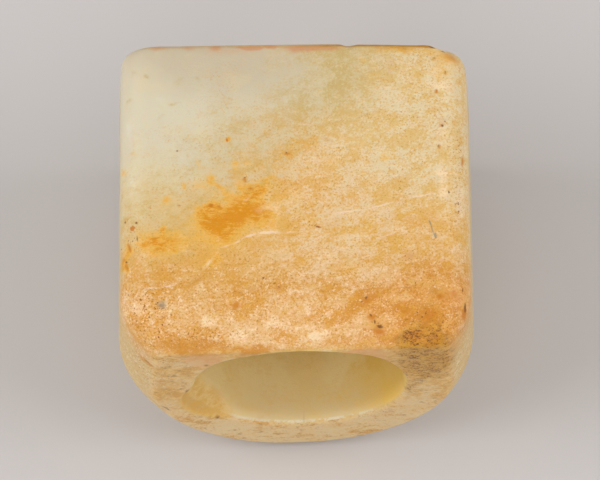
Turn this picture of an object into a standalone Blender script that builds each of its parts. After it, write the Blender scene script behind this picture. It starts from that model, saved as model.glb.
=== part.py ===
# An archer's thumb ring of jade, lying on its round back with its flat front up.
# The thumb hole runs along Y. The bevelled end faces -Y and the plain end +Y, and
# left and right are seen from the bevelled end, so the right flank faces +X.
# The origin is under the middle of the ring, on the small flat that it rests on.
# Metres, +Z up.

import math

import bmesh
import bpy
from mathutils import Vector

# Across the thumb hole
HOLE_RADIUS = 0.01030
HOLE_OFFSET = 0.00025  # the hole was drilled this far to the right of the middle
BACK_WALL = 0.0074  # from the hole to the flanks and to the round back
FRONT_WALL = 0.0027  # from the hole to the flat front
FLANK_LEAN = math.radians(3)  # the flanks lean in this much towards the front
FRONT_CORNER_RADIUS = 0.0024
REST_FLAT_WIDTH = 0.0038  # ground on the back, so that the ring does not roll

# Along the thumb hole
RING_LENGTH = 0.0320

# The bevelled end: its curve brings each side in by its own inset
BEVEL_LENGTH = 0.0059
BEVEL_TURN = math.radians(46)  # how far the curve turns before it meets the end's face
LEFT_INSET = 0.0036
RIGHT_INSET = 0.0024
FRONT_INSET = 0.0026
BACK_INSET = 0.0011
END_SKEW = 0.0007  # how much shorter the ring is at its right flank than at its left
MOUTH_FLARE = 0.0004
MOUTH_DEPTH = 0.0015

# The plain end
EDGE_LENGTH = 0.0013  # of the worn edge, along the ring
EDGE_INSET = 0.0013
FRONT_EDGE_INSET = 0.00045
PLAIN_MOUTH_FLARE = 0.0003
PLAIN_MOUTH_DEPTH = 0.0005

# A long chip off the front edge of the plain end, at its right corner
CHIP_LENGTH = 0.0086  # of the long ball that it is cut with, along the edge
CHIP_RADIUS = 0.0036
CHIP_DEPTH = 0.00145
CHIP_FROM_FLANK = 0.0016  # from the chip's middle to the flank
CHIP_DIRECTION = Vector((0.1, 0.97, 0.22))

# A worn scoop out of the rim of the bevelled mouth
SCOOP_RADIUS = 0.0055
SCOOP_RISE = 0.0022  # the scoop's middle stands this far off the end's face
SCOOP_WIDTH = 0.0017  # how far it reaches past the mouth
SCOOP_ANGLE = math.radians(204)  # round the hole, from the right flank by way of the front

# How finely the outline and the round stretches are divided
FRONT_STEPS = 8
CORNER_STEPS = 6
FLANK_STEPS = 3
BACK_STEPS = 24  # on each side of the rest flat
BEVEL_STEPS = 8
EDGE_STEPS = 4
HOLE_STEPS = 72

# Jade
JADE_COLOUR = (0.66, 0.47, 0.22, 1.0)
JADE_ROUGHNESS = 0.32

OUTER_RADIUS = HOLE_RADIUS + BACK_WALL
FRONT_HEIGHT = HOLE_RADIUS + FRONT_WALL  # of the flat front over the hole's axis
REST_HALF_ANGLE = math.asin(REST_FLAT_WIDTH / 2 / OUTER_RADIUS)
AXIS_HEIGHT = OUTER_RADIUS * math.cos(REST_HALF_ANGLE)  # of the hole's axis over the rest
CORNER_CENTRE_Z = FRONT_HEIGHT - FRONT_CORNER_RADIUS
CORNER_CENTRE_X = (
    OUTER_RADIUS - FRONT_CORNER_RADIUS - CORNER_CENTRE_Z * math.sin(FLANK_LEAN)
) / math.cos(FLANK_LEAN)
MOUTH_RADIUS = HOLE_RADIUS + MOUTH_FLARE


def clear_scene():
    for obj in list(bpy.data.objects):
        bpy.data.objects.remove(obj)


def arc(centre_x, centre_z, radius, start, end, steps):
    """Points along an arc, both its ends among them."""
    turns = [start + (end - start) * step / steps for step in range(steps + 1)]
    return [
        Vector((centre_x + radius * math.cos(turn), centre_z + radius * math.sin(turn)))
        for turn in turns
    ]


def between(start, end, steps):
    """Points along a straight run, neither of its ends among them."""
    return [start.lerp(end, step / steps) for step in range(1, steps)]


def section():
    """The outline across the hole, as x and z from the axis: right flank, back, left, front."""
    corner = arc(
        CORNER_CENTRE_X, CORNER_CENTRE_Z, FRONT_CORNER_RADIUS, math.pi / 2, FLANK_LEAN, CORNER_STEPS
    )
    back = arc(0, 0, OUTER_RADIUS, FLANK_LEAN, REST_HALF_ANGLE - math.pi / 2, BACK_STEPS)
    right = corner + between(corner[-1], back[0], FLANK_STEPS) + back
    left = [Vector((-point.x, point.y)) for point in reversed(right)]
    return right + left + between(left[-1], right[0], FRONT_STEPS)


def drawn_in(point, side_inset, front_inset, back_inset):
    """A point of the section, brought in towards the axis."""
    across = 1 - side_inset / OUTER_RADIUS
    if point.y > 0:
        return Vector((point.x * across, point.y * (1 - front_inset / FRONT_HEIGHT)))
    return Vector((point.x * across, point.y * (1 - back_inset / OUTER_RADIUS)))


def bevelled(point, share):
    """A point of the section at a share of the bevel."""
    side_inset = RIGHT_INSET if point.x > 0 else LEFT_INSET
    return drawn_in(point, side_inset * share, FRONT_INSET * share, BACK_INSET * share)


def worn(point, share):
    """A point of the section at a share of the plain end's worn edge."""
    return drawn_in(point, EDGE_INSET * share, FRONT_EDGE_INSET * share, EDGE_INSET * share)


def outer_loops():
    """Loops round the outside, from the bevelled end's face to the plain end's."""
    outline = section()
    for step in range(BEVEL_STEPS, -1, -1):
        turn = BEVEL_TURN * step / BEVEL_STEPS
        share = (1 - math.cos(turn)) / (1 - math.cos(BEVEL_TURN))
        y = BEVEL_LENGTH * (1 - math.sin(turn) / math.sin(BEVEL_TURN)) - RING_LENGTH / 2
        yield y, [bevelled(point, share) for point in outline]
    for step in range(EDGE_STEPS + 1):
        turn = math.pi / 2 * step / EDGE_STEPS
        y = RING_LENGTH / 2 - EDGE_LENGTH * (1 - math.sin(turn))
        yield y, [worn(point, 1 - math.cos(turn)) for point in outline]


def hole_profile():
    """Radius and y along the hole, eased over at both mouths and run past both ends."""
    yield 0, -RING_LENGTH
    yield MOUTH_RADIUS, -RING_LENGTH
    for step in range(EDGE_STEPS + 1):
        turn = math.pi / 2 * step / EDGE_STEPS
        radius = HOLE_RADIUS + MOUTH_FLARE * (1 - math.sin(turn))
        yield radius, MOUTH_DEPTH * (1 - math.cos(turn)) - RING_LENGTH / 2
    for step in range(EDGE_STEPS, -1, -1):
        turn = math.pi / 2 * step / EDGE_STEPS
        radius = HOLE_RADIUS + PLAIN_MOUTH_FLARE * (1 - math.sin(turn))
        yield radius, RING_LENGTH / 2 - PLAIN_MOUTH_DEPTH * (1 - math.cos(turn))
    yield HOLE_RADIUS + PLAIN_MOUTH_FLARE, RING_LENGTH
    yield 0, RING_LENGTH


def placed(point, y):
    """A point put over the rest, with the bevelled end ground out of square."""
    across = (point.x + OUTER_RADIUS - LEFT_INSET) / (2 * OUTER_RADIUS - LEFT_INSET - RIGHT_INSET)
    skew = END_SKEW * across * max(0, -2 * y / RING_LENGTH)
    return Vector((point.x, y + skew, point.y + AXIS_HEIGHT))


def jade():
    material = bpy.data.materials.new("jade")
    material.use_nodes = True
    shader = material.node_tree.nodes["Principled BSDF"]
    shader.inputs["Base Color"].default_value = JADE_COLOUR
    shader.inputs["Roughness"].default_value = JADE_ROUGHNESS
    material.diffuse_color = JADE_COLOUR
    return material


def make_object(name, bm):
    mesh = bpy.data.meshes.new(name)
    bm.to_mesh(mesh)
    bm.free()
    mesh.shade_smooth()
    obj = bpy.data.objects.new(name, mesh)
    bpy.context.scene.collection.objects.link(obj)
    return obj


def make_cutter(name, bm):
    cutter = make_object(name, bm)
    cutter.hide_render = True
    cutter.display_type = "WIRE"
    return cutter


def make_blank():
    """The ring's outer form, before it is drilled."""
    bm = bmesh.new()
    loops = []
    for y, points in outer_loops():
        verts = [bm.verts.new(placed(point, y)) for point in points]
        loops.append([bm.edges.new(pair) for pair in zip(verts, verts[1:] + verts[:1])])
    for near, far in zip(loops, loops[1:]):
        bmesh.ops.bridge_loops(bm, edges=near + far)
    for end in (loops[0], loops[-1]):
        bmesh.ops.contextual_create(bm, geom=end)
    bmesh.ops.recalc_face_normals(bm, faces=bm.faces)
    return make_object("thumb_ring", bm)


def make_hole():
    """A turned cutter for the thumb hole."""
    bm = bmesh.new()
    verts = [bm.verts.new((radius, y, 0)) for radius, y in hole_profile()]
    edges = [bm.edges.new(pair) for pair in zip(verts, verts[1:])]
    bmesh.ops.spin(
        bm,
        geom=verts + edges,
        cent=(0, 0, 0),
        axis=(0, 1, 0),
        angle=math.tau,
        steps=HOLE_STEPS,
        use_merge=True,
    )
    bmesh.ops.remove_doubles(bm, verts=bm.verts, dist=1e-6)
    for vert in bm.verts:
        vert.co = placed(Vector((vert.co.x + HOLE_OFFSET, vert.co.z)), vert.co.y)
    bmesh.ops.recalc_face_normals(bm, faces=bm.faces)
    return make_cutter("thumb_hole", bm)


def make_ball(name, radius, length, centre):
    """A ball, drawn out or pressed in to its length across the ring."""
    bm = bmesh.new()
    bmesh.ops.create_icosphere(bm, subdivisions=4, radius=radius)
    bmesh.ops.scale(bm, verts=bm.verts, vec=(length / (2 * radius), 1, 1))
    bmesh.ops.translate(bm, verts=bm.verts, vec=centre)
    return make_cutter(name, bm)


def chip_centre():
    """Off the worn front edge, so that the ball bites into it by the chip's depth."""
    edge = Vector((OUTER_RADIUS - CHIP_FROM_FLANK, FRONT_HEIGHT - FRONT_EDGE_INSET / 2))
    off = CHIP_DIRECTION.normalized() * (CHIP_RADIUS - CHIP_DEPTH)
    return placed(edge, RING_LENGTH / 2) + off


def scoop_centre():
    """In front of the mouth, so that the ball reaches past it by the scoop's width."""
    reach = MOUTH_RADIUS + SCOOP_WIDTH - math.sqrt(SCOOP_RADIUS**2 - SCOOP_RISE**2)
    across = Vector((math.cos(SCOOP_ANGLE), math.sin(SCOOP_ANGLE))) * reach
    across.x += HOLE_OFFSET
    return placed(across, -RING_LENGTH / 2) - Vector((0, SCOOP_RISE, 0))


def cut(obj, *cutters):
    """Take the cutters out of the object, and crease the edges that they leave."""
    for cutter in cutters:
        modifier = obj.modifiers.new(cutter.name, "BOOLEAN")
        modifier.operation = "DIFFERENCE"
        modifier.solver = "EXACT"
        modifier.object = cutter
    graph = bpy.context.evaluated_depsgraph_get()
    mesh = bpy.data.meshes.new_from_object(obj.evaluated_get(graph))
    obj.modifiers.clear()
    obj.data = mesh
    mesh.shade_smooth()
    mesh.set_sharp_from_angle(angle=math.radians(30))


clear_scene()
thumb_ring = make_blank()
thumb_ring.data.materials.append(jade())
cut(
    thumb_ring,
    make_hole(),
    make_ball("corner_chip", CHIP_RADIUS, CHIP_LENGTH, chip_centre()),
    make_ball("rim_scoop", SCOOP_RADIUS, 2 * SCOOP_RADIUS, scoop_centre()),
)
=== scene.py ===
import math

import bmesh
import bpy
import numpy
from mathutils import Matrix, Vector, noise


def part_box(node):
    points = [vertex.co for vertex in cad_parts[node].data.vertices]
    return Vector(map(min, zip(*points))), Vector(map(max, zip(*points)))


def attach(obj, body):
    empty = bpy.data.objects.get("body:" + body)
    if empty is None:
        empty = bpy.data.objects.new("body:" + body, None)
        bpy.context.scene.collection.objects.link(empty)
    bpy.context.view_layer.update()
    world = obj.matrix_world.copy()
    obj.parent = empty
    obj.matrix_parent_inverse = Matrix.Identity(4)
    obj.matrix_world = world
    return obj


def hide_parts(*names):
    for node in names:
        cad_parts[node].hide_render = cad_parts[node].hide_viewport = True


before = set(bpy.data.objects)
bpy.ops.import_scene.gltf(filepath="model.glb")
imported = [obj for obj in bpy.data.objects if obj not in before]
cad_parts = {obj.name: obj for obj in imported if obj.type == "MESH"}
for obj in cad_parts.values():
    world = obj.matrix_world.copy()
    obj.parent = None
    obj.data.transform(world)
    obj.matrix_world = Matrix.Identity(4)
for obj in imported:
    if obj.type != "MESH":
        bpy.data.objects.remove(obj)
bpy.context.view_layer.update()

mm = 0.001
ringLow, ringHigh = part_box("thumb_ring")

# The ring lies on its round back with its flat front up. Its hole runs along Y, the
# bevelled end faces -Y, and left and right are seen from that end.
ring = {
    "boreRadius": 10.3 * mm,
    "boreOffset": 0.25 * mm,  # to the right
    "frontWall": 2.7 * mm,
    "flankLean": math.radians(3),
    "cornerRadius": 2.4 * mm,
    "restWidth": 3.8 * mm,  # the small flat under the back
    "bevelLength": 5.9 * mm,
    "bevelTurn": math.radians(46),
    "leftInset": 3.6 * mm,  # how far the bevel brings each side in
    "rightInset": 2.4 * mm,
    "frontInset": 2.6 * mm,
    "backInset": 1.1 * mm,
    "endSkew": 0.7 * mm,  # the bevelled end is this far out of square
    "rimWall": 0.12 * mm,  # what is left of the front wall over the mouth
    "mouthFlare": 0.4 * mm,
    "mouthDepth": 1.5 * mm,
    "edgeLength": 1.3 * mm,  # the worn edge of the plain end
    "edgeInset": 1.3 * mm,
    "frontEdgeInset": 0.35 * mm,
    "leftWear": 0.25,  # how much more the edge is worn at its front corners
    "rightWear": 0.9,
    "plainFlare": 0.3 * mm,
    "plainDepth": 0.5 * mm,
    "columns": 368,  # round the ring
    "frontColumns": 0.56,  # the share of them that the front gets
    "bevelledEndCuts": 22,
    "outsideCuts": 170,
    "plainEndCuts": 14,
    "boreCuts": 56,
    "bevelShare": 0.22,  # of the outside's loops
    "edgeShare": 0.06,
    "softening": 9,  # rounds of smoothing over the ground edges
    "cornerSoftening": 16,  # more of it at the chipped corner
    "waviness": 0.07 * mm,  # of the hand-ground surface
    "waveLength": 5 * mm,
}

# Bites out of the edges: a chip at the plain end, a worn scoop in the hole's mouth, and nicks
bites = {
    "chipLength": 8.6 * mm,
    "chipRadius": 3.6 * mm,
    "chipDepth": 1.05 * mm,
    "chipFromFlank": 1.6 * mm,
    "chipWay": Vector((0.1, 0.97, 0.22)),
    "scoopRadius": 5.5 * mm,
    "scoopRise": 2.2 * mm,
    "scoopWidth": 1.7 * mm,
    "scoopAngle": math.radians(204),
    "nicks": (  # a place on an edge, the way out of the stone, radius and depth
        (Vector((5.5, 15.75, 30.35)), Vector((0, 0.93, 0.37)), 0.8, 0.2),
        (Vector((-13.2, -15.9, 12.6)), Vector((-0.6, -0.6, -0.5)), 0.9, 0.35),
    ),
}

halfLong = (ringHigh.y - ringLow.y) / 2
outerRadius = (ringHigh.x - ringLow.x) / 2
frontHeight = ring["boreRadius"] + ring["frontWall"]
axisHeight = ringHigh.z - frontHeight
boreCentre = Vector((ring["boreOffset"], 0))
mouthRadius = ring["boreRadius"] + ring["mouthFlare"]


def clamped(value):  # to between 0 and 1
    return min(1, max(0, value))


def straightRun(start, end):
    return (end - start).length, lambda part: start.lerp(end, part)


def arcRun(centre, radius, start, end):
    def at(part):
        turn = start + (end - start) * part
        return centre + radius * Vector((math.cos(turn), math.sin(turn)))
    return radius * abs(end - start), at


# The right half of the outline across the hole, from the middle of the front to that of the back
def halfOutline():
    lean, corner = ring["flankLean"], ring["cornerRadius"]
    cornerZ = frontHeight - corner
    cornerX = (outerRadius - corner - cornerZ * math.sin(lean)) / math.cos(lean)
    rest = math.asin(ring["restWidth"] / 2 / outerRadius) - math.pi / 2
    runs = [arcRun(Vector((cornerX, cornerZ)), corner, math.pi / 2, lean)]
    runs.append(arcRun(Vector((0, 0)), outerRadius, lean, rest))
    runs.insert(0, straightRun(Vector((0, frontHeight)), runs[0][1](0)))
    runs.insert(2, straightRun(runs[1][1](1), runs[2][1](0)))
    runs.append(straightRun(runs[3][1](1), Vector((0, runs[3][1](1).y))))
    return runs


outlineRuns = halfOutline()
halfRound = sum(length for length, at in outlineRuns)


def outlinePoint(share):  # once round, by way of the right flank
    away = min(share, 1 - share) * 2 * halfRound
    for length, at in outlineRuns:
        if away <= length:
            break
        away -= length
    point = at(min(1, away / length))
    return point if share <= 0.5 else Vector((-point.x, point.y))


def drawnIn(point, sides, front, back):  # towards the hole's axis
    upright = 1 - front / frontHeight if point.y > 0 else 1 - back / outerRadius
    return Vector((point.x * (1 - sides / outerRadius), point.y * upright))


def bevelled(point, share):
    sides = ring["rightInset"] if point.x > 0 else ring["leftInset"]
    return drawnIn(point, sides * share, ring["frontInset"] * share, ring["backInset"] * share)


def wearAt(way):  # most of it where the front turns into the flanks
    extra = ring["rightWear"] if way.x > 0 else ring["leftWear"]
    return 1 + extra * clamped((abs(way.x) - 0.35) / 0.35) * clamped((way.y + 0.4) / 0.4)


def edgeWorn(point, share):
    return drawnIn(
        point, ring["edgeInset"] * share, ring["frontEdgeInset"] * share, ring["edgeInset"] * share
    )


def columnAt(share):  # one line of points along the ring, closer together on the front
    front = (outlineRuns[0][0] + outlineRuns[1][0]) / halfRound / 2
    closer = ring["frontColumns"] / 2
    outline = outlinePoint(numpy.interp(share, (0, closer, 1 - closer, 1), (0, front, 1 - front, 1)))
    bevel = 1.0  # less where the hole breaks out through the bevel
    while (bevelled(outline, bevel) - boreCentre).length < ring["boreRadius"] + ring["rimWall"]:
        bevel -= 0.005
    way = (outline - boreCentre).normalized()
    return {
        "outline": outline,
        "way": way,
        "wear": wearAt(way),
        "turn": math.acos(1 - bevel * (1 - math.cos(ring["bevelTurn"]))),
    }


def outsideAt(column, along):
    edge = 1 - ring["edgeShare"]
    bevelEnd = ring["bevelLength"] - halfLong
    edgeLength = ring["edgeLength"] * column["wear"]
    edgeStart = halfLong - edgeLength
    if along < ring["bevelShare"]:
        turn = column["turn"] * (1 - along / ring["bevelShare"])
        share = (1 - math.cos(turn)) / (1 - math.cos(ring["bevelTurn"]))
        y = ring["bevelLength"] * (1 - math.sin(turn) / math.sin(ring["bevelTurn"])) - halfLong
        return bevelled(column["outline"], share), y
    if along > edge:
        turn = math.pi / 2 * (along - edge) / ring["edgeShare"]
        y = halfLong - edgeLength * (1 - math.sin(turn))
        return edgeWorn(column["outline"], (1 - math.cos(turn)) * column["wear"]), y
    part = (along - ring["bevelShare"]) / (edge - ring["bevelShare"])
    return column["outline"], bevelEnd + (edgeStart - bevelEnd) * part


def easedOver(gap, depth, flare):  # how much wider the hole is this far inside its mouth
    off = clamped(1 - gap / depth)
    return flare * (1 - math.sqrt(1 - off * off))


def boreAt(column, along):
    start = outsideAt(column, 0)[1]
    closer = along - 0.5 * math.sin(math.tau * along) / math.tau  # loops near the mouths
    y = start + (halfLong - start) * closer
    radius = ring["boreRadius"]
    under = clamped((column["way"].y - 0.75) / 0.2)  # no flare under the thin front
    radius += easedOver(y - start, ring["mouthDepth"], ring["mouthFlare"]) * (1 - under)
    radius += easedOver(halfLong - y, ring["plainDepth"], ring["plainFlare"])
    return boreCentre + column["way"] * radius, y


def placed(point, y):  # over the rest, with the bevelled end out of square
    span = 2 * outerRadius - ring["leftInset"] - ring["rightInset"]
    across = (point.x + outerRadius - ring["leftInset"]) / span
    skew = ring["endSkew"] * across * max(0, -y / halfLong)
    return Vector((point.x, y + skew, point.y + axisHeight))


# The blank's wall lies between radii of 1 and 2, and the blank is 1 long
def onHoleSide(radius):
    return radius < 1.5


def betweenEnds(along):
    return 0.001 < along < 0.999


def shapedPoint(column, radius, along):  # from the square-walled blank to the ring
    if not betweenEnds(along):
        side = round(along)
        inner, innerY = boreAt(column, side)
        outer, outerY = outsideAt(column, side)
        return placed(inner.lerp(outer, radius - 1), innerY + (outerY - innerY) * (radius - 1))
    shapedAt = boreAt if onHoleSide(radius) else outsideAt
    return placed(*shapedAt(column, along))


def chipBall():
    edge = Vector((outerRadius - bites["chipFromFlank"], frontHeight - ring["frontEdgeInset"] / 2))
    off = bites["chipWay"].normalized() * (bites["chipRadius"] - bites["chipDepth"])
    stretch = bites["chipLength"] / 2 / bites["chipRadius"]
    return placed(edge, halfLong) + off, bites["chipRadius"], stretch


def scoopBall():
    reach = math.sqrt(bites["scoopRadius"] ** 2 - bites["scoopRise"] ** 2)
    reach = mouthRadius + bites["scoopWidth"] - reach
    across = Vector((math.cos(bites["scoopAngle"]), math.sin(bites["scoopAngle"]))) * reach
    centre = placed(across + boreCentre, -halfLong) - Vector((0, bites["scoopRise"], 0))
    return centre, bites["scoopRadius"], 1


def biteBalls():
    yield chipBall()
    yield scoopBall()
    for edge, way, radius, depth in bites["nicks"]:
        yield (edge + way.normalized() * (radius - depth)) * mm, radius * mm, 1


# A square-walled blank is turned first, and its points are then brought to the ring's shape
def makeBlank():
    bm = bmesh.new()
    corners = [bm.verts.new((radius, along, 0)) for radius, along in ((1, 0), (2, 0), (2, 1), (1, 1))]
    cuts = ("bevelledEndCuts", "outsideCuts", "plainEndCuts", "boreCuts")
    sides = [bm.edges.new((corners[turn], corners[(turn + 1) % 4])) for turn in range(4)]
    for side, cut in zip(sides, cuts):
        bmesh.ops.subdivide_edges(bm, edges=[side], cuts=ring[cut])
    bmesh.ops.spin(
        bm,
        geom=bm.verts[:] + bm.edges[:],
        cent=(0, 0, 0),
        axis=(0, 1, 0),
        angle=math.tau,
        steps=ring["columns"],
        use_merge=True,
    )
    return bm


def shapeBlank(bm):
    columns = [columnAt(turn / ring["columns"]) for turn in range(ring["columns"])]
    bored = bm.verts.layers.float.new("bored")  # the hole's wall, which the material reads
    for vert in bm.verts:
        turn = math.atan2(vert.co.z, vert.co.x) / math.tau * ring["columns"]
        radius = math.hypot(vert.co.x, vert.co.z)
        vert[bored] = float(onHoleSide(radius) and betweenEnds(vert.co.y))
        vert.co = shapedPoint(columns[round(turn) % ring["columns"]], radius, vert.co.y)


def biteEdges(bm):
    for centre, radius, stretch in biteBalls():
        squeeze = Matrix.Diagonal((1 / stretch, 1, 1))
        for vert in bm.verts:
            off = squeeze @ (vert.co - centre)
            if off.length < radius:
                vert.co = centre + squeeze.inverted() @ off.normalized() * radius


def softenEdges(bm):
    chip = chipBall()[0] + Vector((bites["chipLength"] / 3, 0, 0))
    worn = [vert for vert in bm.verts if (vert.co - chip).length < bites["chipRadius"] * 1.1]
    for verts, rounds in ((bm.verts, ring["softening"]), (worn, ring["cornerSoftening"])):
        for turn in range(rounds):
            bmesh.ops.smooth_vert(
                bm, verts=verts, factor=0.5, use_axis_x=True, use_axis_y=True, use_axis_z=True
            )
    bmesh.ops.recalc_face_normals(bm, faces=bm.faces)
    bm.normal_update()


def waveSurface(bm):  # but for the flat that the ring rests on
    for vert in bm.verts:
        wave = noise.fractal(vert.co / ring["waveLength"], 1.0, 2.0, 4) / 2 + 0.5  # 4 octaves
        clear = clamped(vert.co.z / mm - 0.2)
        vert.co -= vert.normal * ring["waviness"] * wave * clear


def makeRing():
    bm = makeBlank()
    shapeBlank(bm)
    biteEdges(bm)
    print("ring shaped")
    softenEdges(bm)
    waveSurface(bm)
    mesh = bpy.data.meshes.new("jade_ring")
    bm.to_mesh(mesh)
    bm.free()
    mesh.shade_smooth()
    piece = bpy.data.objects.new("jade_ring", mesh)
    bpy.context.scene.collection.objects.link(piece)
    print("ring has", len(mesh.polygons), "faces")
    return piece


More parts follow.
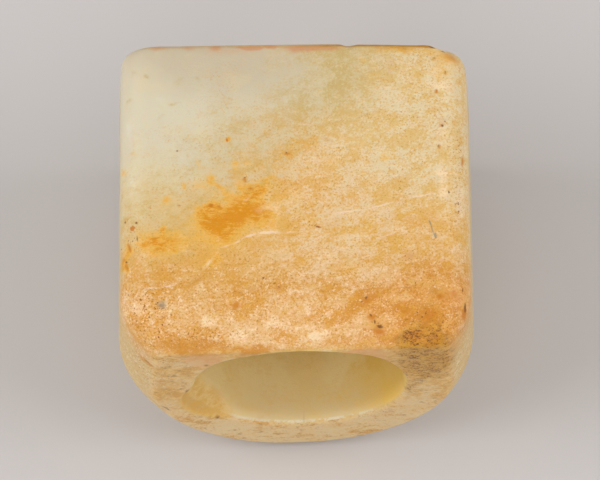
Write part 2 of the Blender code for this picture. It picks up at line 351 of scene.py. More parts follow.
# The jade's marks in millimetres, as X, Y, half width, half height, turn in degrees and
# strength. Those on the bevelled end give Z where those on the front give Y, and ragged is
# how far their edges wander.
marks = {
    "amber": {
        "ragged": 1,
        "front": [
            (-8.2, -3.4, 1.5, 1.1, 0, 1.0),
            (-7.0, -3.0, 2.4, 1.5, 8, 0.75),
            (-6.8, -4.5, 1.6, 1.3, 0, 0.3),
            (-5.8, -1.9, 2.8, 1.3, 10, 0.35),
            (-3.4, 0.6, 2.0, 1.2, 25, 0.5),
            (-4.5, -0.8, 1.8, 1.4, 0, 0.35),
            (-2.9, -2.3, 1.9, 1.5, 0, 0.55),
            (-7.0, -4.9, 2.2, 1.5, 0, 0.3),
            (-2.1, -3.6, 0.6, 0.6, 0, 0.5),
            (-9.1, -2.2, 0.9, 1.0, 0, 0.6),
            (-13.3, -5.0, 3.4, 1.6, 0, 0.65),
            (-13.7, -4.8, 1.6, 0.5, 3, 0.2),
            (-12.7, -3.8, 0.5, 0.6, 0, 0.8),
            (-7.9, -7.0, 0.8, 1.3, -40, 0.6),
            (-11.6, -5.9, 0.6, 0.6, 0, 0.5),
            (-16.6, -6.8, 0.5, 1.4, 0, 0.8),
            (-13.3, -5.6, 2.8, 1.9, 0, 0.55),
            (-5.6, -2.3, 5.2, 3.4, 15, 0.75),
            (-3.6, 0.4, 2.4, 1.3, 25, 0.5),
            (-8.8, -2.2, 1.8, 1.6, 0, 0.45),
            (-9.5, -4.5, 4.0, 2.5, 0, 0.3),
            (-4.6, 2.8, 2.8, 1.5, 0, 0.3),
            (-9.0, 0.8, 2.4, 1.7, 0, 0.28),
            (-12.5, -1.2, 2.6, 2.0, 0, 0.22),
            (-1.0, 4.5, 2.0, 1.2, 0, 0.2),
            (-15.6, 5.5, 0.7, 0.7, 0, 0.25),
            (-15.8, 4.4, 0.9, 0.6, 20, 0.25),
            (-16.6, 2.8, 0.6, 0.7, 0, 0.45),
            (-9.3, 3.0, 0.4, 0.9, 0, 0.35),
            (-10.9, 1.0, 0.5, 0.45, 0, 0.5),
            (-8.3, 1.5, 0.5, 0.8, 0, 0.7),
            (-7.6, 0.7, 0.9, 0.45, -35, 0.7),
            (-5.2, 1.0, 0.9, 0.8, 30, 0.5),
            (-6.6, 5.6, 0.35, 0.6, 0, 1.0),
            (-8.2, -1.4, 1.0, 0.6, 0, 0.8),
            (-16.4, -5.9, 0.5, 1.0, 0, 0.9),
            (-16.5, -7.3, 0.5, 1.0, 0, 0.6),
            (-6.6, 0.0, 0.6, 0.9, 30, 0.5),
            (-12.6, -0.6, 0.6, 0.5, 0, 0.4),
            (-5.8, 3.1, 0.5, 0.7, 20, 0.45),
            (-4.5, -2.1, 2.8, 1.8, 10, 0.35),
            (8.9, 3.8, 1.0, 0.6, 0, 0.45),
            (6.9, 14.0, 0.7, 0.6, 0, 0.35),
            (8.0, 12.3, 0.8, 0.6, 0, 0.35),
            (15.2, 14.2, 2.4, 1.5, -25, 0.4),
            (14.6, 12.6, 1.6, 1.2, 0, 0.35),
            (11.0, 15.2, 4.5, 0.8, 0, 0.4),
            (-0.4, -0.1, 2.2, 1.2, 20, 0.3),
            (3.5, 3.3, 1.9, 1.3, 10, 0.25),
            (-8.7, -7.3, 2.5, 1.5, 20, 0.25),
            (5.4, -8.1, 2.8, 1.2, 12, 0.25),
            (0.5, -7.4, 2.5, 1.0, 12, 0.2),
        ],
    },
    # partly bleached stone, partly painted highlights and sheen near the front's edges
    "bleachedAndHighlights": {
        "ragged": 1,
        "front": [
            (-8.5, -13.2, 1.4, 0.6, -10, 0.9),
            (-5.5, -14.2, 1.8, 0.9, 10, 0.7),
            (3.5, -6.8, 1.7, 1.2, 20, 0.5),
            (6.2, -4.7, 1.4, 0.9, 15, 0.4),
            (8.2, -8.5, 1.7, 0.9, 15, 0.4),
            (14.6, 0.0, 0.5, 1.6, 10, 0.8),
            (10.4, -4.0, 1.5, 0.8, 12, 0.5),
            (14.5, 11.3, 1.7, 0.9, 0, 0.75),
            (-13.2, 9.9, 1.5, 1.2, 0, 0.35),
            (-16.2, 6.8, 0.9, 2.4, 0, 0.45),
            (-16.0, 1.5, 1.0, 2.2, 0, 0.45),
            (8.7, 11.1, 1.7, 0.45, 0, 0.5),
            (14.7, 6.0, 1.1, 1.5, 0, 0.5),
            (14.9, 1.9, 1.7, 0.3, 0, 0.9),
            (-2.3, -1.4, 1.9, 0.75, 15, 0.6),
            (2.0, -14.2, 3.6, 1.2, 0, 0.75),
            (-7.6, -12.8, 0.9, 0.5, -20, 0.8),
            (-2.2, -13.3, 1.8, 0.7, 10, 0.7),
            (-6.4, -11.0, 0.8, 0.5, 0, 0.6),
            (8.8, -9.9, 2.0, 0.7, 10, 0.4),
            (9.8, -11.2, 2.2, 0.8, 10, 0.3),
            (16.4, -0.5, 0.8, 4.0, 0, 0.5),
            (5.5, -14.3, 1.9, 0.9, 0, 0.5),
            (-14.6, -7.0, 1.7, 1.8, 0, 0.35),
            (-9.2, -9.7, 1.4, 0.6, 0, 0.35),
            (11.6, -5.9, 1.4, 1.5, 0, 0.4),
            (0.5, -12.1, 2.5, 1.0, 0, 0.5),
            (14.5, 1.0, 1.0, 2.2, 5, 0.5),
            (9.5, 6.7, 1.7, 0.6, 15, 0.35),
            (-14.1, -12.3, 1.9, 0.45, -10, 0.5),
        ],
    },
    "browned": {
        "ragged": 1,
        "front": [
            (-11.6, -14.9, 3.4, 1.0, -4, 1.0),
            (-7.5, -15.2, 2.8, 0.7, -3, 0.9),
            (-4.5, -15.3, 2.6, 0.5, 0, 0.6),
            (-9.0, -14.0, 1.9, 0.9, 0, 0.6),
            (-7.8, -12.0, 1.1, 0.8, 0, 0.5),
            (-5.4, -12.4, 2.0, 0.8, 0, 0.4),
            (-13.3, -8.7, 0.7, 0.6, 0, 0.5),
            (-9.9, -9.3, 1.7, 0.8, 25, 0.7),
            (-8.4, -8.0, 1.5, 0.7, 45, 0.6),
            (-4.4, -10.2, 1.7, 0.7, 0, 0.5),
            (-15.6, -10.6, 0.9, 1.6, 0, 0.4),
            (3.4, -8.0, 1.2, 0.8, 0, 0.35),
            (3.8, -15.2, 3.2, 0.5, 0, 0.4),
            (5.9, -11.7, 1.9, 1.0, 0, 0.6),
            (9.6, -12.2, 2.4, 1.0, 0, 0.3),
            (10.4, 15.5, 3.6, 0.7, 0, 0.9),
            (-2.9, -2.3, 1.4, 1.1, 0, 0.35),
            (-5.0, -15.7, 3.0, 0.6, 0, 1.5),
            (3.4, -3.5, 1.8, 1.2, 0, 0.3),
            (8.0, -13.6, 1.0, 0.8, -30, 0.6),
            (13.5, -10.4, 2.0, 0.9, 0, 0.65),
            (11.3, -10.3, 1.0, 0.7, 0, 0.5),
            (13.0, -12.6, 3.0, 2.0, 0, 0.9),
            (13.4, -13.2, 1.2, 1.0, 0, 0.6),
            (12.6, -14.7, 2.8, 1.1, 0, 1.8),
            (-2.0, -9.0, 2.2, 0.9, 10, 0.3),
            (10.5, -6.8, 2.2, 0.9, 10, 0.3),
            (14.6, -8.6, 1.2, 1.2, 0, 0.4),
            (9.5, 13.4, 1.1, 1.8, 0, 0.4),
            (15.0, 14.2, 2.0, 1.4, -20, 0.4),
            (-10.5, -15.6, 4.6, 1.0, 0, 1.4),
            (-1.0, -15.6, 5.0, 0.6, 0, 1.0),
            (-15.2, -13.4, 1.2, 1.6, 30, 0.5),
            (-0.6, 4.2, 1.2, 0.9, 0, 0.45),
            (3.2, 5.7, 0.9, 0.7, 0, 0.4),
            (0.0, 8.3, 1.2, 0.5, 0, 0.3),
            (14.6, 7.6, 0.8, 0.8, 0, 0.35),
            (-14.5, 12.4, 0.7, 0.4, 0, 0.6),
            (-11.3, 11.9, 0.9, 0.7, 0, 0.45),
            (-9.4, 12.1, 0.6, 0.4, 0, 0.5),
            (-11.8, 9.7, 0.9, 0.3, 0, 0.6),
            (-13.1, 8.1, 0.9, 0.3, 35, 0.5),
            (-16.2, 10.0, 0.6, 0.5, 0, 0.4),
            (-15.7, 6.5, 0.6, 0.7, 30, 0.4),
            (-16.0, 4.4, 0.6, 0.4, 0, 0.4),
            (-6.4, 10.4, 1.3, 0.15, -24, 0.8),
            (-15.8, 12.9, 0.9, 0.9, 0, 0.3),
        ],
        "end": [
            (-15.6, 26.5, 1.6, 2.4, 0, 0.6),
            (-14.8, 24.4, 0.9, 1.0, 0, 1.0),
            (-12.4, 25.4, 1.4, 0.6, 0, 0.45),
            (-13.5, 20.8, 1.5, 1.0, 0, 0.5),
            (-10.2, 22.8, 1.0, 0.8, 0, 0.5),
            (-9.8, 17.0, 1.0, 1.5, 0, 0.5),
            (15.6, 25.5, 1.2, 2.4, 0, 0.5),
            (13.6, 14.0, 1.5, 1.2, 40, 0.35),
            (-4.0, 7.6, 3.0, 0.8, 0, 0.3),
            (9.0, 9.4, 2.4, 0.8, 30, 0.35),
        ],
    },
    "rusted": {
        "ragged": 0.3,
        "front": [
            (-6.6, 5.6, 0.15, 0.35, 0, 1.6),
            (-4.9, 1.4, 0.3, 0.5, 30, 1.0),
            (-4.3, 0.4, 0.5, 0.25, 0, 0.8),
            (-0.7, 4.1, 0.7, 0.25, 25, 0.8),
            (-14.2, -1.4, 0.2, 0.2, 0, 0.9),
            (-3.2, 6.0, 0.2, 0.2, 0, 0.8),
            (2.3, 3.8, 0.25, 0.2, 0, 0.8),
            (5.1, 5.9, 0.3, 0.2, 0, 0.6),
            (-15.9, -3.5, 0.32, 0.3, 0, 2.4),
            (-16.8, -6.5, 0.3, 0.6, 0, 0.6),
            (-8.1, -1.3, 0.35, 0.25, 0, 1.8),
            (-7.4, -1.5, 0.4, 0.15, -20, 1.0),
            (-11.3, -1.3, 0.3, 0.25, 0, 0.8),
            (-6.9, -2.9, 1.8, 0.12, 0, 0.5),
            (-8.2, -3.9, 0.6, 0.2, 0, 0.4),
            (-13.7, -4.7, 0.8, 0.16, 3, 0.8),
            (-16.2, -5.5, 0.25, 0.8, 10, 0.9),
            (-16.4, -7.4, 0.3, 0.8, 0, 0.7),
            (-1.6, -10.0, 0.7, 0.4, 45, 0.7),
            (-5.8, -11.8, 0.6, 0.7, 60, 0.7),
            (7.0, -11.3, 0.8, 0.6, 0, 0.7),
            (15.6, -10.8, 0.7, 0.9, 20, 0.6),
            (14.0, -11.0, 0.5, 0.4, 0, 0.7),
            (7.4, -12.9, 0.7, 0.45, 0, 0.8),
            (8.1, -14.1, 1.1, 0.45, -10, 1.0),
            (10.5, -12.4, 0.55, 0.3, 0, 0.8),
            (12.9, -12.9, 1.7, 1.3, 10, 0.6),
            (14.6, -11.0, 1.2, 1.2, 0, 0.5),
            (11.5, -14.6, 1.6, 0.9, 0, 0.7),
            (15.6, 14.4, 1.6, 0.9, -30, 0.5),
            (16.4, -12.3, 0.4, 0.9, -10, 1.2),
            (11.2, -6.8, 1.0, 0.75, 0, 0.5),
            (2.3, -3.6, 0.55, 0.2, -15, 0.9),
            (14.5, 7.0, 0.5, 0.25, 40, 0.8),
            (14.2, 4.7, 0.3, 0.5, 0, 0.8),
            (16.5, 3.4, 0.2, 0.9, 0, 0.9),
            (14.0, 10.6, 0.25, 0.4, 0, 1.2),
            (13.9, 14.2, 0.4, 0.3, 0, 0.7),
            (15.0, 12.6, 0.3, 0.3, 0, 0.8),
        ],
    },
    "reddened": {  # along the plain end's edge
        "ragged": 0.4,
        "front": [
            (-13.4, 15.6, 1.4, 0.5, 0, 0.8),
            (-10.4, 15.6, 1.0, 0.5, 0, 0.5),
            (-7.7, 15.6, 0.8, 0.4, 0, 0.7),
            (-4.2, 15.6, 1.4, 0.4, 0, 1.0),
            (-2.2, 15.6, 0.8, 0.4, 0, 1.0),
            (0.7, 15.4, 2.2, 0.7, 0, 0.6),
            (3.3, 15.4, 1.7, 0.6, 0, 0.7),
            (-5.4, 15.2, 3.8, 1.2, 0, 0.3),
            (2.0, 15.5, 4.0, 0.35, 0, 0.8),
            (-8.5, 15.3, 3.0, 0.8, 0, 0.25),
            (0.5, 15.4, 3.5, 0.8, 0, 0.3),
            (-3.5, 15.6, 3.0, 0.3, 0, 0.8),
        ],
    },
    "gilded": {  # beside the chip
        "ragged": 0.2,
        "front": [
            (5.2, 16.0, 1.5, 0.5, 0, 1.0),
            (9.2, 16.0, 6.0, 0.5, 0, 1.0),
            (13.1, 15.6, 1.9, 0.4, -8, 1.0),
        ],
    },
    "pinked": {  # the smooth stone by the thin rim
        "ragged": 1,
        "end": [
            (-9.0, 26.2, 2.8, 2.8, -15, 1.2),
            (6.9, 26.4, 3.0, 2.4, -15, 1.2),
            (-5.0, 28.0, 1.6, 0.8, 0, 0.6),
        ],
    },
    "sooted": {
        "ragged": 1,
        "end": [
            (12.6, 24.5, 4.2, 7.5, 0, 1.9),
            (12.4, 28.7, 3.0, 1.9, 0, 1.4),
            (11.3, 16.5, 1.6, 3.0, 0, 0.8),
            (-11.5, 19.0, 2.5, 4.0, 0, 0.35),
        ],
    },
    "spotted": {
        "ragged": 0.4,
        "end": [
            (-14.6, 24.6, 0.4, 0.9, 30, 0.8),
            (-13.1, 12.6, 1.4, 0.4, -56, 1.2),
            (-12.0, 22.2, 0.5, 0.3, 0, 1.2),
            (-8.8, 24.8, 0.4, 0.6, 0, 1.0),
            (-10.8, 17.4, 0.4, 0.9, 0, 1.2),
            (-11.4, 18.3, 0.25, 0.4, 0, 0.9),
            (-8.0, 9.6, 0.5, 0.45, 0, 1.2),
            (11.3, 25.0, 0.7, 0.3, 0, 1.1),
            (14.5, 22.5, 0.4, 0.4, 0, 1.3),
            (10.9, 20.1, 0.4, 0.4, 0, 1.2),
            (10.5, 21.8, 0.3, 0.4, 0, 0.9),
            (12.4, 18.4, 0.3, 0.4, 0, 1.0),
            (13.8, 10.7, 0.8, 0.7, 40, 0.7),
            (11.0, 14.7, 0.5, 1.9, 0, 0.5),
            (0.7, 7.0, 0.35, 0.5, 0, 0.6),
            (2.6, 6.5, 0.3, 0.5, 0, 0.6),
            (8.1, 7.4, 0.3, 0.4, 0, 0.8),
        ],
    },
    "peppered": {  # with fine dark pits
        "ragged": 1,
        "front": [
            (-14.5, -12.0, 3.2, 4.0, 0, 1.0),
            (-9.5, -14.4, 5.0, 1.8, 0, 1.1),
            (13.0, -13.6, 3.6, 2.4, 0, 1.2),
            (12.4, -14.9, 3.4, 1.2, 0, 1.6),
            (16.0, 4.0, 1.2, 6.0, 0, 0.8),
            (-16.0, -4.5, 0.9, 2.0, 0, 0.9),
            (-3.5, -1.0, 2.5, 2.5, 0, 0.6),
            (11.2, -6.7, 1.1, 1.0, 0, 1.6),
            (11.4, -9.8, 0.9, 0.9, 0, 1.3),
            (10.6, 0.6, 0.8, 0.8, 0, 1.2),
            (1.6, -3.4, 1.0, 0.5, 0, 1.2),
            (16.2, -0.9, 0.6, 1.8, 0, 1.2),
            (15.3, -4.0, 1.8, 5.0, 0, 0.6),
            (-5.5, -7.5, 3.0, 1.8, 20, 0.6),
            (-1.6, -9.6, 1.0, 0.7, 0, 1.2),
            (4.5, -8.5, 5.0, 1.5, 10, 0.4),
        ],
        "end": [
            (-14.8, 23.0, 3.6, 6.5, 0, 1.1),
            (-12.0, 26.5, 3.0, 2.0, 0, 0.6),
            (15.6, 21.0, 1.6, 7.0, 0, 0.7),
            (8.5, 8.5, 3.4, 2.5, 0, 0.5),
            (-12.5, 14.0, 3.0, 2.5, -50, 0.5),
        ],
    },
}
markPaint = {
    "frontLevel": ringHigh.z / mm - 0.6,  # where the marks on each side are centred
    "endLevel": 0.3 - halfLong / mm,
    "depth": 4.0,  # of a mark into the stone
    "scoopEdge": 0.5,  # how far the scoop's colour goes past it
    "wander": ((1.1, 0.45), (0.4, 0.12)),  # of their edges: sizes and amounts
    "wanderSeed": 6,
}


# The marks are painted on the ring's points, where the material reads them
def painted(places, spots, level):
    total = numpy.zeros(len(places))
    for x, y, wide, high, turn, strength in spots:
        off = places - (x, y, level)
        cosine, sine = math.cos(math.radians(turn)), math.sin(math.radians(turn))
        across = (off[:, 0] * cosine + off[:, 1] * sine) / wide
        upwards = (off[:, 1] * cosine - off[:, 0] * sine) / high
        far = numpy.sqrt(across**2 + upwards**2 + (off[:, 2] / markPaint["depth"]) ** 2)
        total += strength * numpy.maximum(0, 1 - far)
    return total


def paintMarks(mesh):
    places = numpy.empty(len(mesh.vertices) * 3)
    mesh.vertices.foreach_get("co", places)
    places = places.reshape(-1, 3) / mm
    noise.seed_set(markPaint["wanderSeed"])  # it would differ from run to run otherwise
    wander = sum(
        numpy.array([noise.noise_vector(Vector(place) / size) * amount for place in places])
        for size, amount in markPaint["wander"]
    )
    strengths = {}
    for name, mark in marks.items():
        pushed = places + wander * mark["ragged"]
        onFront = painted(pushed, mark.get("front", ()), markPaint["frontLevel"])
        onEnd = painted(pushed[:, (0, 2, 1)], mark.get("end", ()), markPaint["endLevel"])
        strengths[name] = onFront + onEnd
    centre, radius, stretch = scoopBall()
    past = numpy.linalg.norm(places - numpy.array(centre) / mm, axis=1) - radius / mm
    strengths["scooped"] = numpy.clip(1 - past / markPaint["scoopEdge"], 0, 1)
    for name, values in strengths.items():
        mesh.attributes.new(name, "FLOAT", "POINT").data.foreach_set("value", values)
    print("marks painted")


class Wire:  # a number's socket, which is reckoned with as a number is
    def __init__(self, sheet, socket):
        self.sheet = sheet
        self.socket = socket

    def reckon(self, operation, first, second):
        return self.sheet.add("ShaderNodeMath", {"operation": operation}, {0: first, 1: second})

    def __add__(self, other):
        return self.reckon("ADD", self, other)

    def __radd__(self, other):
        return self.reckon("ADD", other, self)

    def __sub__(self, other):
        return self.reckon("SUBTRACT", self, other)

    def __rsub__(self, other):
        return self.reckon("SUBTRACT", other, self)

    def __mul__(self, other):
        return self.reckon("MULTIPLY", self, other)

    def __rmul__(self, other):
        return self.reckon("MULTIPLY", other, self)


class Sheet:  # a material's nodes, with lengths in millimetres
    def __init__(self, name):
        self.material = bpy.data.materials.new(name)
        self.material.use_nodes = True
        self.nodes = self.material.node_tree.nodes
        self.links = self.material.node_tree.links
        self.shader = self.nodes["Principled BSDF"]

    def add(self, kind, settings=None, values=None, output=0):
        node = self.nodes.new(kind)
        for key, value in (settings or {}).items():
            setattr(node, key, value)
        self.fill(node, values or {})
        return Wire(self, node.outputs[output])

    def fill(self, node, values):
        for key, value in values.items():
            if isinstance(value, Wire):
                self.links.new(value.socket, node.inputs[key])
            else:
                node.inputs[key].default_value = value

    def vector(self, operation, first, second):
        return self.add("ShaderNodeVectorMath", {"operation": operation}, {0: first, 1: second})

    def ramp(self, value, start, end, low=0.0, high=1.0):
        values = {"Value": value, "From Min": start, "From Max": end, "To Min": low, "To Max": high}
        return self.add("ShaderNodeMapRange", {"interpolation_type": "SMOOTHSTEP"}, values)

    def noise(self, place, size, detail=3, roughness=0.55, output=0):
        values = {"Vector": place, "Scale": 1 / size, "Detail": detail, "Roughness": roughness}
        return self.add("ShaderNodeTexNoise", {}, values, output)

    def wander(self, place, size, amount):  # for ragged edges
        push = self.vector("SUBTRACT", self.noise(place, size, 2, 0.55, 1), (0.5, 0.5, 0.5))
        return self.vector("ADD", place, self.vector("MULTIPLY", push, (amount, amount, amount)))

    def stretched(self, place, centre, radii, turn=0):
        spin = (0, 0, math.radians(turn))
        values = {"Vector": place, "Location": centre, "Rotation": spin, "Scale": radii}
        return self.add("ShaderNodeMapping", {"vector_type": "TEXTURE"}, values)

    def patch(self, place, centre, radii, turn=0):  # 1 in the middle, 0 from the radii on
        values = {0: self.stretched(place, centre, radii, turn)}
        return self.add("ShaderNodeTexGradient", {"gradient_type": "SPHERICAL"}, values, 1)

    def patches(self, place, group):
        total = 0.0
        for x, y, wide, high, turn, strength in group["spots"]:
            centre, radii = (x, y, group["level"]), (wide, high, group["depth"])
            total = total + strength * self.patch(place, centre, radii, turn)
        return total

    def mark(self, name):
        return self.add("ShaderNodeAttribute", {"attribute_name": name}, {}, 2)

    def specks(self, place, size, radius, share):  # dots in some of the cells of a lattice
        values = {"Vector": place, "Scale": 1 / size}
        node = self.add("ShaderNodeTexVoronoi", {}, values).socket.node
        near = self.ramp(Wire(self, node.outputs["Distance"]), radius, radius * 0.5)
        split = self.add("ShaderNodeSeparateColor", {}, {0: Wire(self, node.outputs["Color"])})
        return near * self.ramp(split, share + 0.02, share)

    def mix(self, factor, first, second):
        values = {0: factor, 6: first, 7: second}
        return self.add("ShaderNodeMix", {"data_type": "RGBA"}, values, 2)


# The stone's colours and finish
jade = {
    "pale": (0.71, 0.64, 0.47, 1),
    "grey": (0.61, 0.52, 0.37, 1),
    "cream": (0.77, 0.63, 0.37, 1),
    # milky stone, and the colour of painted highlights
    "milkyAndHighlight": (0.78, 0.74, 0.62, 1),
    "khaki": (0.65, 0.52, 0.275, 1),
    "darkKhaki": (0.60, 0.44, 0.18, 1),
    "tan": (0.81, 0.60, 0.36, 1),
    "golden": (0.75, 0.42, 0.11, 1),
    "yellow": (0.76, 0.45, 0.12, 1),
    "cornerTan": (0.79, 0.66, 0.43, 1),
    "cornerGolden": (0.75, 0.52, 0.21, 1),
    "peach": (0.80, 0.52, 0.26, 1),
    "olive": (0.59, 0.40, 0.10, 1),
    "ochre": (0.69, 0.33, 0.055, 1),
    "burntTan": (0.78, 0.41, 0.13, 1),
    "burnt": (0.63, 0.25, 0.02, 1),
    "honey": (0.73, 0.39, 0.05, 1),
    "back": (0.64, 0.49, 0.23, 1),
    "bore": (0.71, 0.56, 0.29, 1),
    # painted light: a paler colour for the hole's wall further in, where it lies in shade
    "paintedLightBore": (0.90, 0.73, 0.37, 1),
    "boreGold": (0.80, 0.54, 0.14, 1),
    "end": (0.84, 0.55, 0.19, 1),
    "endBrown": (0.64, 0.35, 0.085, 1),
    "endPink": (0.77, 0.40, 0.16, 1),
    "endPale": (0.83, 0.63, 0.35, 1),
    "endDark": (0.54, 0.28, 0.02, 1),
    "scoop": (0.71, 0.43, 0.10, 1),
    "amber": (0.72, 0.285, 0.0005, 1),
    "amberEdge": (0.86, 0.495, 0.08, 1),
    "rust": (0.60, 0.21, 0.006, 1),
    "brown": (0.64, 0.31, 0.04, 1),
    "ochreBrown": (0.60, 0.25, 0.012, 1),
    "oliveBrown": (0.56, 0.38, 0.10, 1),
    "speck": (0.35, 0.12, 0.008, 1),
    "dirt": (0.20, 0.06, 0.0, 1),
    # white stone, and the colour of painted highlights and sheen
    "whiteAndHighlight": (0.92, 0.715, 0.455, 1),
    "vein": (0.89, 0.69, 0.50, 1),
    "red": (0.64, 0.28, 0.12, 1),
    "gold": (0.50, 0.25, 0.03, 1),
    "blue": (0.25, 0.24, 0.21, 1),
    "roughness": 0.42,
    "sheen": 0.35,  # how much of a full gloss is left
    "pitting": 0.4,
    "pitDepth": 0.1 * mm,
    "glow": 0.5,  # the share of light that goes through
    "glowDepth": 2.0 * mm,
    "glowTint": (1.0, 0.6, 0.25),
    "dabSize": 2.6,  # in millimetres, as the next ones are
    "fleckSize": 1.2,
    "gritSize": 0.2,
    "cloudSize": 5.0,
    "clusterSize": 2.4,
    "streakSize": 0.5,
    "fibreSize": 0.3,
    "pitSize": 0.42,
}
# Where its colours lie, as a centre and radii in millimetres
zones = {
    "pale": ((-24, 20, 24), (32, 32, 40)),
    "grey": ((-6, 17, 30), (16, 9, 12)),
    "cream": ((-15, -3, 30), (9, 9, 12)),
    "corner": ((15, 9, 30), (19, 14, 12)),
    "khaki": ((1, 15, 30), (11, 11, 12)),
    "honey": ((-9, -5.5, 30), (10.5, 8, 12)),
    "burnt": ((12.5, -12.5, 28.5), (10, 6.5, 9)),
    "gilt": ((10, -12, 16), (9, 12, 11)),  # in the hole
}
# Marks on the front that are too fine for the ring's points, so the material draws them
fineMarks = {
    "veins": {
        "level": 30.6,
        "depth": 1.5,
        "spots": [
            (-6.8, -5.6, 0.85, 0.16, 18, 0.6),
            (-5.6, -5.1, 0.87, 0.22, 32, 0.7),
            (-4.4, -4.5, 0.86, 0.22, 19, 0.9),
            (-2.6, -4.2, 1.45, 0.20, 1, 1.0),
            (-0.4, -4.2, 1.2, 0.16, 1, 0.6),
            (5.2, -2.1, 2.1, 0.18, 7, 0.7),
            (8.6, -1.4, 2.0, 0.15, 16, 0.9),
            (12.3, -0.5, 2.4, 0.15, 11, 0.9),
            (15.4, 0.0, 1.3, 0.13, 7, 0.5),
            (-12.3, -9.7, 0.85, 0.18, 11, 0.9),
            (-8.5, -7.4, 2.1, 0.3, 51, 0.5),
            (-14.0, -9.9, 1.3, 0.18, 5, 0.6),
            (7.9, -8.4, 2.5, 0.16, 12, 0.4),
            (9.0, -4.6, 1.8, 0.16, 21, 0.5),
            (-4.7, -0.7, 0.95, 0.2, 41, 0.4),
            (1.0, 7.2, 1.6, 0.12, 8, 0.5),
        ],
    },
    "dirt": {
        "level": 30.1,
        "depth": 2.5,
        "spots": [
            (13.2, 14.4, 0.17, 0.17, 0, 0.9),
            (13.7, 15.5, 0.7, 0.14, -28, 1.3),
            (14.8, 15.0, 0.5, 0.12, -12, 1.0),
            (13.9, 14.2, 0.3, 0.17, 0, 0.9),
            (15.0, 12.7, 0.17, 0.3, 0, 0.9),
            (14.6, 6.9, 0.2, 0.2, 0, 1.6),
            (14.9, 7.4, 0.17, 0.17, 0, 1.1),
            (14.2, 8.6, 0.15, 0.13, 0, 0.9),
            (14.2, 4.8, 0.15, 0.3, 0, 1.0),
            (15.1, -0.1, 0.15, 0.25, 0, 1.6),
            (-4.9, 1.6, 0.2, 0.13, 0, 1.2),
            (-0.8, 4.2, 0.16, 0.13, 0, 1.4),
            (-11.5, 4.5, 0.14, 0.14, 0, 1.2),
            (-15.5, -3.0, 0.18, 0.2, 0, 1.4),
            (-16.6, -2.6, 0.14, 0.24, 0, 1.2),
            (-15.4, -4.7, 0.16, 0.55, 0, 1.0),
            (-3.1, -9.0, 0.18, 0.17, 0, 1.6),
            (-17.0, -5.2, 0.14, 0.14, 0, 1.6),
            (-16.5, -6.9, 0.16, 0.17, 0, 1.4),
            (2.2, -3.6, 0.5, 0.13, -20, 1.2),
            (6.9, -11.1, 0.27, 0.33, 0, 1.2),
            (6.4, -11.5, 0.3, 0.14, 30, 1.0),
            (7.3, -12.7, 0.2, 0.28, 30, 1.2),
            (8.2, -13.7, 0.48, 0.2, -10, 1.8),
            (7.7, -13.3, 0.16, 0.3, 30, 1.4),
            (16.5, -11.8, 0.22, 0.65, 0, 2.0),
            (16.3, -10.2, 0.14, 0.3, 0, 1.5),
            (12.0, -14.1, 0.55, 0.14, 0, 1.6),
            (13.3, -14.3, 0.5, 0.16, 5, 1.6),
            (11.5, -14.8, 0.6, 0.12, -5, 1.6),
        ],
    },
    "blue": {
        "level": 30.4,
        "depth": 1.5,
        "spots": [
            (-13.0, -11.6, 0.75, 0.7, 0, 0.9),
            (13.2, -3.3, 0.14, 0.42, 12, 1.2),
            (13.7, -4.7, 0.18, 0.42, 12, 1.6),
            (13.4, -4.0, 0.12, 0.85, 14, 1.0),
        ],
    },
}


